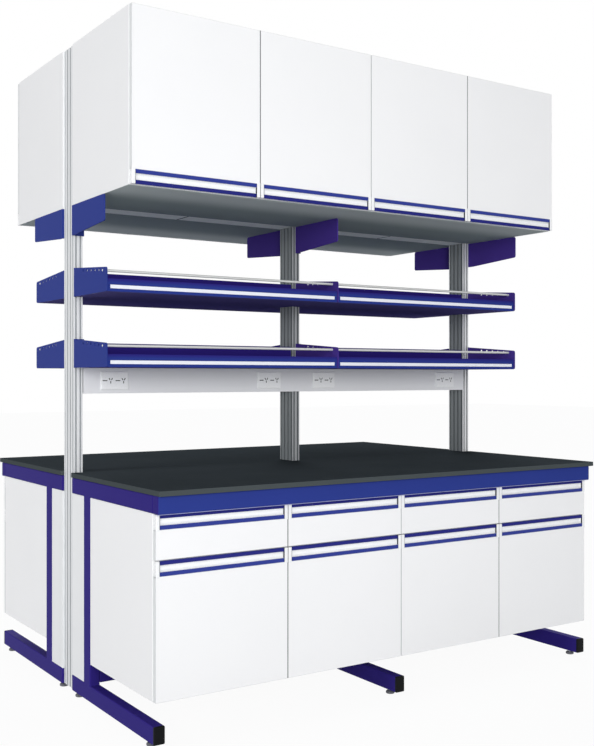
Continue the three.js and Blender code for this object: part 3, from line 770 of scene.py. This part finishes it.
@dataclass
class Fronts:
    """All drawers and doors of the bench. Sizes are in millimetres."""

    front: Front = field(default_factory=Front)
    bays: int = 4
    wall: float = 12
    floor: float = 8
    runner_height: float = 10
    runner_sheet: float = 1.2
    cup_radius: float = 17.5
    cup_from_edge: float = 22.5
    cup_proud: float = 0.15
    cup_from_end: float = 100
    housing: tuple[float, float, float] = (34.0, 9.0, 15.0)
    box_round: float = 1.5
    housing_round: float = 2.0
    runner_round: float = 0.3
    front_clear: float = 1
    seal_width: float = 2.8
    seal_round: float = 0.5
    seal_depth: tuple[float, float] = (3.2, 9.0)
    bead_gap: float = 0.5
    bead_depth: float = 6

    def build(self) -> None:
        """Build every drawer and door on both sides."""
        for side in Side:
            for bay in range(1, self.bays + 1):
                hinge = Hinge.LEFT if bay % 2 else Hinge.RIGHT
                self._drawer(f"drawer_{side.tag}_{bay}", side, hinge is Hinge.LEFT)
                self._door(f"base_door_{side.tag}_{bay}", side, hinge, Pull.TOP)
                self._door(f"overhead_door_{side.tag}_{bay}", side, hinge, Pull.BOTTOM)
            self._bead(side)

    def _bead(self, side: Side) -> None:
        """Add the strip that closes the gap between the apron and the drawers; its lavender is a painted
        highlight of the apron's lower edge.

        Args:
            side: The side that it is on.
        """
        drawer = Box.of_node(f"drawer_{side.tag}_1", side)
        apron = Box.of_node(f"apron_{side.tag}", side)
        gap = self.bead_gap * MM
        piece = Piece(f"drawer_gap_bead_{side.tag}")
        y = (apron.low.y + gap, apron.low.y + self.bead_depth * MM)
        z = (drawer.high.z + gap, apron.low.z)
        piece.block(apron.x, y, z, LAVENDER_HIGHLIGHT_STRIP, self.runner_round)
        piece.place(BENCH, "white_board", side)

    def _seal(self, piece: Piece, box: Box) -> None:
        """Add the black dust seal along the edge where a front meets its neighbour in the same cupboard.

        Args:
            piece: The front's piece.
            box: The front's box.
        """
        near, far = (box.low.y + depth * MM for depth in self.seal_depth)
        x = (box.high.x, box.high.x + self.seal_width * MM)
        piece.block(x, (near, far), box.z, BLACK_PLASTIC, self.seal_round)

    def _back(self, box: Box) -> float:
        """Return where a front's back face lies, behind the caps' faces."""
        return box.low.y + (self.front.thickness + self.front.cap_proud) * MM

    def _door(self, node: str, side: Side, hinge: Hinge, pull: Pull) -> None:
        """Build a door with the cups of its concealed hinges.

        Args:
            node: The door's node, which is also its body.
            side: The side that it is on.
            hinge: The edge that it hinges at.
            pull: The edge that its pull lies along.
        """
        box = Box.of_node(node, side)
        piece = Piece(f"{node}_dressed")
        back = self._back(box)
        self.front.build(piece, box.x, back, box.z, pull)
        way = hinge.value
        edge = box.x[::way][0]
        long, proud, tall = (size * MM for size in self.housing)
        rim, cup = self.cup_radius * MM, self.cup_proud * MM
        for z in (box.low.z + self.cup_from_end * MM, box.high.z - self.cup_from_end * MM):
            at = Vector((edge + way * self.cup_from_edge * MM, back, z))
            piece.turned([(0, 0), (rim, 0), (rim, cup), (0, cup)], at, Axis.Y, ZINC)
            x = (at.x, at.x + way * long)[::way]
            piece.block(x, (back, back + proud), around(z, tall / 2), ZINC, self.housing_round)
        if hinge is Hinge.LEFT:
            self._seal(piece, box)
        piece.place(node, "white_board", side, node)

    def _drawer(self, node: str, side: Side, first: bool) -> None:
        """Build a drawer: its front, its box and the runners on the box.

        Args:
            node: The drawer's node, which is also its body.
            side: The side that it is on.
            first: True if it is the left one of a pair, seen from its own side.
        """
        box = Box.of_node(node, side)
        piece = Piece(f"{node}_dressed")
        back = self._back(box)
        self.front.build(piece, box.x, back, box.z, Pull.TOP)
        inner = self._box_span(node, side)
        low, high = inner.low, inner.high
        wall, floor = self.wall * MM, self.floor * MM
        for x in ((low.x, low.x + wall), (high.x - wall, high.x)):
            piece.block(x, (back, high.y), inner.z, WHITE_BOARD, self.box_round)
        across = (low.x + wall, high.x - wall)
        piece.block(across, (high.y - wall, high.y), inner.z, WHITE_BOARD, self.box_round)
        piece.block(across, (back, high.y - wall), (low.z, low.z + floor), WHITE_BOARD, 0.0)
        sheet, tall = self.runner_sheet * MM, self.runner_height * MM
        for x in ((low.x - sheet, low.x), (high.x, high.x + sheet)):
            piece.block(x, (back, high.y), (low.z + tall, low.z + 2 * tall), ZINC, self.runner_round)
        if first:
            self._seal(piece, box)
        piece.place(node, "white_board", side, node)

    def _box_span(self, node: str, side: Side) -> Box:
        """Return the box of a drawer behind its front.

        Args:
            node: The drawer's node.
            side: The side that it is on.

        Returns:
            The span of the drawer's box.
        """
        back = self._back(Box.of_node(node, side))
        turn = side.turn().inverted()
        points = [turn @ v.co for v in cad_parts[node].data.vertices]
        return Box.holding([p for p in points if p.y > back + self.front_clear * MM])


@dataclass
class SteelFrames:
    """The C-shaped end frames and the middle frame, of rounded rectangular tube.

    Sizes are in millimetres.
    """

    tube_height: float = 60
    tube_width: float = 40
    corner: float = 4
    cap_thick: float = 6
    setback: float = 168
    stretcher_lift: float = 6
    leveller_height: float = 18
    pad_height: float = 11
    pad_radius: float = 17
    stem_radius: float = 5
    nut_radius: float = 9
    tip_inset: float = 62
    root_leveller: float = 82
    pad_edge: float = 2
    stem_sides: int = 16
    nut_sides: int = 6
    arm_setback: float = 12.3

    def build(self) -> None:
        """Build all five frames."""
        for side in Side:
            for end in ("left", "right"):
                node = f"frame_{side.tag}_{end}"
                box = Box.of_node(node, side)
                piece = Piece(f"{node}_dressed")
                self._half(piece, box, sum(box.x) / 2, box.high.y)
                piece.place(BENCH, "blue_steel", side, node)
        self._middle()

    def _half(self, piece: Piece, box: Box, middle: float, root: float) -> None:
        """Add the foot, upright and top arm of one side, as a front-side piece.

        Args:
            piece: The piece that gets them.
            box: The frame's box.
            middle: The place of its middle along X.
            root: Where the foot and the arm end, near the middle of the bench.
        """
        half, tall = self.tube_width * MM / 2, self.tube_height * MM
        x = around(middle, half)
        foot = (self.leveller_height * MM, self.leveller_height * MM + tall)
        arm = (box.high.z - tall, box.high.z)
        tip, near = box.low.y, -self.setback * MM
        far, cap, arm_tip = near - tall, tip + self.cap_thick * MM, tip + self.arm_setback * MM
        outline = [(far, foot[1]), (cap, foot[1]), (cap, foot[0])]
        outline += [(root, foot[0]), (root, foot[1]), (near, foot[1])]
        outline += [(near, arm[0]), (root, arm[0]), (root, arm[1])]
        outline += [(arm_tip, arm[1]), (arm_tip, arm[0]), (far, arm[0])]
        piece.prism(outline, x, FRAME_COAT, self.corner)
        piece.block(x, (tip, cap + self.cap_thick * MM), foot, BLACK_PLASTIC, self.corner)
        for y in (tip + self.tip_inset * MM, -self.root_leveller * MM):
            self._leveller(piece, middle, y)

    def _leveller(self, piece: Piece, x: float, y: float) -> None:
        """Add a levelling foot: a grey pad, a threaded stem and a nut.

        Args:
            piece: The piece that gets it.
            x: Its place along X.
            y: Its place along Y.
        """
        pad, edge = self.pad_radius * MM, self.pad_edge * MM
        high, stem, nut = self.pad_height * MM, self.stem_radius * MM, self.nut_radius * MM
        top = self.leveller_height * MM
        at = Vector((x, y, 0))
        shape = [(0, 0), (pad - edge, 0), (pad, edge)]
        shape += [(pad, high - 2 * edge), (pad - 2 * edge, high), (0, high)]
        piece.turned(shape, at, Axis.Z, GREY_PLASTIC)
        shape = [(0, high - edge), (stem, high - edge), (stem, top + edge), (0, top + edge)]
        piece.turned(shape, at, Axis.Z, ZINC, self.stem_sides)
        shape = [(0, high + edge), (nut, high + edge), (nut, top), (0, top)]
        piece.turned(shape, at, Axis.Z, ZINC, self.nut_sides)

    def _middle(self) -> None:
        """Build the middle frame with its two stretchers."""
        node = "frame_middle"
        box = Box.of_node(node)
        piece = Piece(f"{node}_dressed")
        for side in Side:
            half = Piece("half")
            self._half(half, Box.of_node(node, side), 0.0, 0.0)
            half.mesh.transform(side.turn())
            piece.finishes = half.finishes
            piece.take(half.mesh)
        wide, tall = self.tube_width * MM, self.tube_height * MM
        low = (self.leveller_height + self.tube_height + self.stretcher_lift) * MM
        reach = (self.setback + self.tube_height) * MM
        for y in ((-reach, -reach + wide), (reach - wide, reach)):
            for x in ((box.low.x, -wide / 2), (wide / 2, box.high.x)):
                piece.block(x, y, (low, low + tall), FRAME_COAT, self.corner)
        piece.place(BENCH, "blue_steel", node=node)


@dataclass
class ReagentShelf:
    """The strips on the trays, the guard rods and the service raceway of the shelf.

    Sizes are in millimetres.
    """

    insert_lift: float = 11
    insert_height: float = 14
    insert_depth: float = 2
    insert_proud: float = 0.8
    insert_end: float = 13
    rod_radius: float = 5
    rod_end: float = 1.5
    sheet: float = 2
    plate_width: float = 118
    plate_height: float = 72
    plate_proud: float = 7
    socket_from_middle: float = 143
    socket_from_end: float = 128
    group_gap: float = 54
    slot_long: float = 9.5
    slot_wide: float = 3.6
    slot_deep: float = 1
    slot_proud: float = 0.05
    insert_play: float = 0.3
    insert_round: float = 1.5
    rod_sides: int = 24
    column_play: float = 0.3
    fold_round: float = 0.8
    plate_round: float = 1.5
    # Each step of a plate: the start and end of its height, and its size, as shares of the whole.
    plate_steps: tuple[tuple[float, float, float], ...] = ((0.0, 0.55, 1.0), (0.55, 1.0, 0.93))
    # Each contact slot of an outlet: its place along X and Z, and its lean in degrees.
    slots: tuple[tuple[float, float, float], ...] = (
        (-20.0, 0.0, 90.0),
        (-10.0, 0.0, 90.0),
        (4.0, 6.0, -29.0),
        (14.0, 6.0, 29.0),
        (9.0, -6.0, 0.0),
    )

    def build(self) -> None:
        """Build the dressings of the shelf."""
        for level in ("lower", "upper"):
            for end in ("left", "right"):
                self._inserts(f"shelf_tray_{level}_{end}")
            for side in Side:
                self._rod(f"guard_rod_{level}_{side.tag}")
        self._raceway()

    def _inserts(self, node: str) -> None:
        """Add the white strips along both lips of a tray.

        Args:
            node: The tray's node.
        """
        box = Box.of_node(node)
        piece = Piece(f"{node}_strips")
        low = box.low.z + self.insert_lift * MM
        play, proud = self.insert_play * MM, self.insert_proud * MM
        x = (box.low.x + self.insert_end * MM, box.high.x - self.insert_end * MM)
        z = (low + play, low + self.insert_height * MM - play)
        deep = self.insert_depth * MM - play
        for y in ((box.low.y - proud, box.low.y + deep), (box.high.y - deep, box.high.y + proud)):
            piece.block(x, y, z, WHITE_STRIP, self.insert_round)
        piece.place(BENCH, "white_board")

    def _rod(self, node: str) -> None:
        """Build a guard rod with rounded ends in place of its node.

        Args:
            node: The rod's node.
        """
        box = Box.of_node(node)
        piece = Piece(f"{node}_dressed")
        radius, end, long = self.rod_radius * MM, self.rod_end * MM, box.high.x - box.low.x
        shape = [(0, 0), (radius - end, 0), (radius, end)]
        shape += [(radius, long - end), (radius - end, long), (0, long)]
        at = Vector((box.low.x, sum(box.y) / 2, sum(box.z) / 2))
        piece.turned(shape, at, Axis.X, STAINLESS, self.rod_sides)
        piece.place(BENCH, "aluminium", node=node)

    def _raceway(self) -> None:
        """Build the raceway: folded sheet round the middle column, with socket plates on both faces."""
        node = "service_raceway"
        box = Box.of_node(node)
        column = Box.of_node("column_middle")
        piece = Piece(f"{node}_dressed")
        proud, sheet = self.plate_proud * MM, self.sheet * MM
        y, z = (box.low.y + proud, box.high.y - proud), box.z
        inner = (y[0] + sheet, y[1] - sheet)
        for wall in ((y[0], inner[0]), (inner[1], y[1])):
            piece.block(box.x, wall, z, GREY_COAT, self.fold_round)
        gap = self.column_play * MM
        for x in ((box.low.x, column.low.x - gap), (column.high.x + gap, box.high.x)):
            for height in ((z[0], z[0] + sheet), (z[1] - sheet, z[1])):
                piece.block(x, inner, height, GREY_COAT, 0.0)
        middle = sum(z) / 2
        places = (self.socket_from_middle * MM, box.high.x - self.socket_from_end * MM)
        for x in (*places, *(-p for p in places)):
            self._socket(piece, x, y[0], -1, middle)
            self._socket(piece, x, y[1], 1, middle)
        piece.place(BENCH, "grey_steel", node=node)

    def _socket(self, piece: Piece, x: float, face: float, way: int, z: float) -> None:
        """Add a socket plate with two outlets.

        Args:
            piece: The piece that gets it.
            x: The middle of the plate along X.
            face: The raceway's face along Y.
            way: -1 on the front face, 1 on the rear face.
            z: The middle of the plate along Z.
        """
        wide, tall = self.plate_width * MM / 2, self.plate_height * MM / 2
        proud = self.plate_proud * MM
        for start, stop, share in self.plate_steps:
            across, height = around(x, wide * share), around(z, tall * share)
            y = (face + way * start * proud, face + way * stop * proud)[::way]
            piece.block(across, y, height, WHITE_ABS, self.plate_round)
        outer = face + way * proud
        y = (outer - way * self.slot_deep * MM, outer + way * self.slot_proud * MM)[::way]
        for middle in around(x, self.group_gap * MM / 2):
            self._slots(piece, middle, y, z)

    def _slots(self, piece: Piece, x: float, y: Span, z: float) -> None:
        """Add the contact slots of one outlet as dark blocks of painted shade: two flat ones, and three
        beside them.

        Args:
            piece: The piece that gets them.
            x: The outlet's middle along X.
            y: The slots' span along Y.
            z: The plate's middle along Z.
        """
        long, wide = self.slot_long * MM / 2, self.slot_wide * MM / 2
        for across, up, lean in self.slots:
            width, height = around(x + across * MM, wide), around(z + up * MM, long)
            piece.block(width, y, height, SLOT_SHADE, 0.0, math.radians(lean))


@dataclass
class CarriedNodes:
    """The nodes whose own shape shows, with their finishes.

    Sizes are in millimetres.
    """

    board_round: float = 0.6
    sheet_round: float = 0.8
    plate_edge: float = 0.5
    slab_round: float = 1.5
    apron_round: float = 3.0
    zone_depth: float = 5
    end_depth: float = 2
    face_edge: float = 4
    groove_width: float = 8
    groove_places: tuple[float, float] = (14.0, 40.0)
    under_edge: float = 200
    joint_place: float = 530
    joint_width: float = 8
    fold_height: float = 40
    fold_top: float = 200
    fold_fade: float = 26

    def build(self) -> None:
        """Dress every node that isn't replaced."""
        apron = self._apron()
        board = self._overhead_board()
        # The slab's side faces carry painted light.
        top = zoned(PHENOLIC, "black_phenolic_slab", Zone(SLAB_SIDE_LIGHT, Facing.SIDEWAYS), gloss=0.0)
        for side in Side:
            dress_node(f"apron_{side.tag}", apron, self.apron_round)
            dress_node(f"worktop_{side.tag}", top, self.slab_round)
            dress_node(f"base_carcass_{side.tag}", WHITE_BOARD, self.board_round)
            dress_node(f"overhead_carcass_{side.tag}", board, self.board_round)
        for end in ("left", "middle", "right"):
            # The middle and right brackets and arms carry painted shade, as they lie under the cupboards.
            coat = BLUE_COAT if end == "left" else SHADED_ARM_COAT
            # The middle and right columns carry painted shade on their wide faces.
            metal = ALUMINIUM if end == "left" else SHADED_ALUMINIUM
            # The middle column's narrow faces carry painted shade.
            face = SHADED_FACE if end == "middle" else LIT_FACE
            column = self._column(f"{metal.name}_{end}_column", metal, face)
            dress_node(f"column_{end}", column, self.plate_edge)
            dress_node(f"overhead_arm_{end}", coat, self.sheet_round)
            for level in ("lower", "upper"):
                dress_node(f"shelf_bracket_{level}_{end}", coat, self.plate_edge)
        for end in ("left", "right"):
            dress_node(f"end_panel_{end}", WHITE_COAT, self.board_round)
            for level in ("lower", "upper"):
                node = f"shelf_tray_{level}_{end}"
                tray = self._tray(f"{BLUE_COAT.name}_{level}_tray", node)
                dress_node(node, tray, self.sheet_round)

    def _apron(self) -> ZonedFinish:
        """Make the finish of the aprons: plain blue, with the deeper coat of the frames on the ends.

        Returns:
            The finish with its zones.
        """
        box = Box.of_node("apron_front")
        edge = self.end_depth * MM
        zones = [Zone(FRAME_COAT.colour, Facing.SIDEWAYS, x=around(x, edge)) for x in box.x]
        return zoned(BLUE_COAT, "blue_powder_coated_apron", *zones)

    def _overhead_board(self) -> ZonedFinish:
        """Make the finish of the overhead cupboards: white board with painted shade underneath, lighter
        towards its outer edges.

        Returns:
            The finish with its zones.
        """
        box = Box.of_node("overhead_carcass_front")
        column = Box.of_node("column_left")
        under = around(box.low.z, self.zone_depth * MM)
        edge, joint = self.under_edge * MM, self.joint_width * MM / 2
        # Painted shade on the whole underside, and painted light that fades in towards its outer edges.
        zones = [Zone(UNDERSIDE_SHADE, Facing.DOWN, z=under)]
        for y in (box.low.y, -box.low.y):
            zones.append(Zone(UNDERSIDE_EDGE_LIGHT, Facing.DOWN, y=around(y, edge), z=under, fade=edge))
        zones.append(Zone(COVER_STRIP, Facing.DOWN, y=column.y, z=under))
        for x in around(0.0, self.joint_place * MM):
            zones.append(Zone(JOINT_LINE, Facing.DOWN, x=around(x, joint), y=column.y, z=under))
        return zoned(WHITE_BOARD, "white_board_grey_underside", *zones, gloss=0.0)

    def _tray(self, name: str, node: str) -> ZonedFinish:
        """Make a tray's finish: plain blue, with painted shade underneath and towards the rolled tops of its
        folds.

        Args:
            name: The finish's name.
            node: A tray that has it.

        Returns:
            The finish with its zones.
        """
        base = Box.of_node(node).low.z
        folds = (base + self.fold_height * MM, base + self.fold_top * MM)
        return zoned(
            BLUE_COAT,
            name,
            # Painted shade underneath, and painted shade in the violet of the frames that fades in towards
            # the tops of the folds.
            Zone(TRAY_UNDER_SHADE, Facing.DOWN),
            Zone(FRAME_COAT.colour, Facing.SIDEWAYS, z=folds, fade=self.fold_fade * MM),
            gloss=0.0,
        )

    def _column(self, name: str, metal: Finish, face: str) -> ZonedFinish:
        """Make a column's finish: the narrow faces in the colour given for them, and painted shade in the
        grooves of the wide ones.

        Args:
            name: The finish's name.
            metal: The finish of the wide faces.
            face: The colour of the narrow faces.

        Returns:
            The finish with its zones.
        """
        box = Box.of_node("column_left")
        edge, half = self.face_edge * MM, self.groove_width * MM / 2
        places = [y for place in self.groove_places for y in around(0.0, place * MM)]
        # Painted shade in the grooves of the wide faces: dark stripes in the metal's shade colour.
        zones = [Zone(metal.shade, Facing.SIDEWAYS, y=around(y, half)) for y in places]
        # The narrow faces: a lit copy of the metal, painted shade on the middle column.
        zones += [Zone(face, Facing.SIDEWAYS, y=around(y, edge)) for y in box.y]
        return zoned(metal, name, *zones, shade=metal.colour)


@dataclass
class Studio:
    """Floor, lamps, world and camera. Places and sizes are in metres, and angles in degrees."""

    white_strength: float = 1.0
    floor_size: float = 60.0
    floor_colour: str = "#d9dbde"
    floor_bounce: str = "#b9bbbe"
    floor_white: float = 0.95
    ambient: float = 0.28
    front_strength: float = 1.0
    front_angles: tuple[float, float, float] = (85.0, 0.0, -38.0)
    left_strength: float = 1.22
    left_angles: tuple[float, float, float] = (65.0, 0.0, -88.0)
    rear_strength: float = 2.6
    rear_angles: tuple[float, float, float] = (70.0, 0.0, 150.0)
    softness: float = 30.0
    fill_power: float = 132.0
    fill_place: tuple[float, float, float] = (-1.9, -5.2, 1.6)
    fill_aim: tuple[float, float, float] = (-0.8, -0.7, 1.1)
    fill_size: float = 2.0
    camera_place: tuple[float, float, float] = (-2.4891, -3.7908, 1.2187)
    camera_turn: float = -33.7
    focal_pixels: float = 1025.0
    frame_height: float = 746.0
    sensor: float = 36.0
    rise_pixels: float = 3.4

    def build(self) -> None:
        """Build the whole studio."""
        bpy.context.scene.view_settings.view_transform = "Standard"
        self._floor()
        self._world()
        self._sun("front_light", self.front_angles, self.front_strength)
        self._sun("left_light", self.left_angles, self.left_strength)
        rear = self._sun("rear_light", self.rear_angles, self.rear_strength)
        rear.visible_glossy = False
        self._fill()
        self._camera()

    def _floor(self) -> None:
        """Build the pale floor, which shows as white and keeps the shadow."""
        data = bpy.data.meshes.new("floor")
        half = self.floor_size / 2
        corners = [(-half, -half, 0), (half, -half, 0), (half, half, 0), (-half, half, 0)]
        data.from_pydata(corners, [], [tuple(range(len(corners)))])
        floor = stand("floor", data)
        material = bpy.data.materials.new("pale_floor")
        material.use_nodes = True
        tree = material.node_tree
        tree.nodes.clear()
        seen = self._seen(tree)
        layers = {"Factor": seen, MIX_BELOW: linear(self.floor_bounce), MIX_ABOVE: linear(self.floor_colour)}
        colour = add_node(tree, "ShaderNodeMix", layers, data_type="RGBA").outputs[MIX_RESULT]
        diffuse = add_node(tree, "ShaderNodeBsdfDiffuse", {"Color": colour})
        white = add_node(tree, "ShaderNodeEmission", self._white(self.white_strength))
        share = add_node(tree, "ShaderNodeMath", {0: seen, 1: self.floor_white}, operation="MULTIPLY")
        mix = add_node(tree, "ShaderNodeMixShader", {0: share, 1: diffuse, 2: white})
        add_node(tree, "ShaderNodeOutputMaterial", {"Surface": mix})
        data.materials.append(material)

    @staticmethod
    def _white(strength: float) -> dict[str, Any]:
        """Return the inputs of a node that gives white light of some strength."""
        return {"Color": linear(WHITE), "Strength": strength}

    @staticmethod
    def _seen(tree: Tree) -> Any:
        """Return the node that gives 1 for rays that show the background.

        Args:
            tree: The node tree.

        Returns:
            The node.
        """
        path = add_node(tree, "ShaderNodeLightPath").outputs
        rays = {0: path["Is Glossy Ray"], 1: path["Is Transmission Ray"]}
        mirrored = add_node(tree, "ShaderNodeMath", rays, operation="MAXIMUM")
        return add_node(tree, "ShaderNodeMath", {0: path["Is Camera Ray"], 1: mirrored}, operation="MAXIMUM")

    def _world(self) -> None:
        """Build the world: white where it is seen, and an even ambient light."""
        world = bpy.data.worlds.new("studio")
        bpy.context.scene.world = world
        world.use_nodes = True
        tree = world.node_tree
        tree.nodes.clear()
        lights = add_node(tree, "ShaderNodeBackground", self._white(self.ambient))
        shows = add_node(tree, "ShaderNodeBackground", self._white(self.white_strength))
        mix = add_node(tree, "ShaderNodeMixShader", {0: self._seen(tree), 1: lights, 2: shows})
        add_node(tree, "ShaderNodeOutputWorld", {"Surface": mix})

    def _sun(self, name: str, angles: tuple[float, float, float], strength: float) -> bpy.types.Object:
        """Add a soft distant lamp.

        Args:
            name: Its name.
            angles: Its turns about X, Y and Z in degrees, from pointing straight down.
            strength: Its strength.

        Returns:
            The lamp.
        """
        data = bpy.data.lights.new(name, "SUN")
        data.energy = strength
        data.angle = math.radians(self.softness)
        lamp = stand(name, data)
        lamp.rotation_euler = [math.radians(a) for a in angles]
        return lamp

    def _fill(self) -> None:
        """Add the large soft lamp near the left end, whose light falls off to the right."""
        data = bpy.data.lights.new("fill_light", "AREA")
        data.energy = self.fill_power
        data.size = self.fill_size
        lamp = stand("fill_light", data)
        lamp.location = self.fill_place
        aim = Vector(self.fill_aim) - Vector(self.fill_place)
        lamp.rotation_euler = aim.to_track_quat("-Z", "Y").to_euler()

    def _camera(self) -> None:
        """Place the camera at the photograph's viewing angle."""
        data = bpy.data.cameras.new("camera")
        data.sensor_width = self.sensor
        data.lens = self.focal_pixels / self.frame_height * self.sensor
        data.shift_y = self.rise_pixels / self.frame_height
        camera = stand("camera", data)
        camera.location = self.camera_place
        camera.rotation_euler = (math.pi / 2, 0, math.radians(self.camera_turn))
        bpy.context.scene.camera = camera


def main() -> None:
    """Build every sub-assembly in order."""
    logging.basicConfig(level=logging.INFO)
    Studio().build()
    SteelFrames().build()
    CarriedNodes().build()
    ReagentShelf().build()
    Fronts().build()


if __name__ == "__main__":
    main()
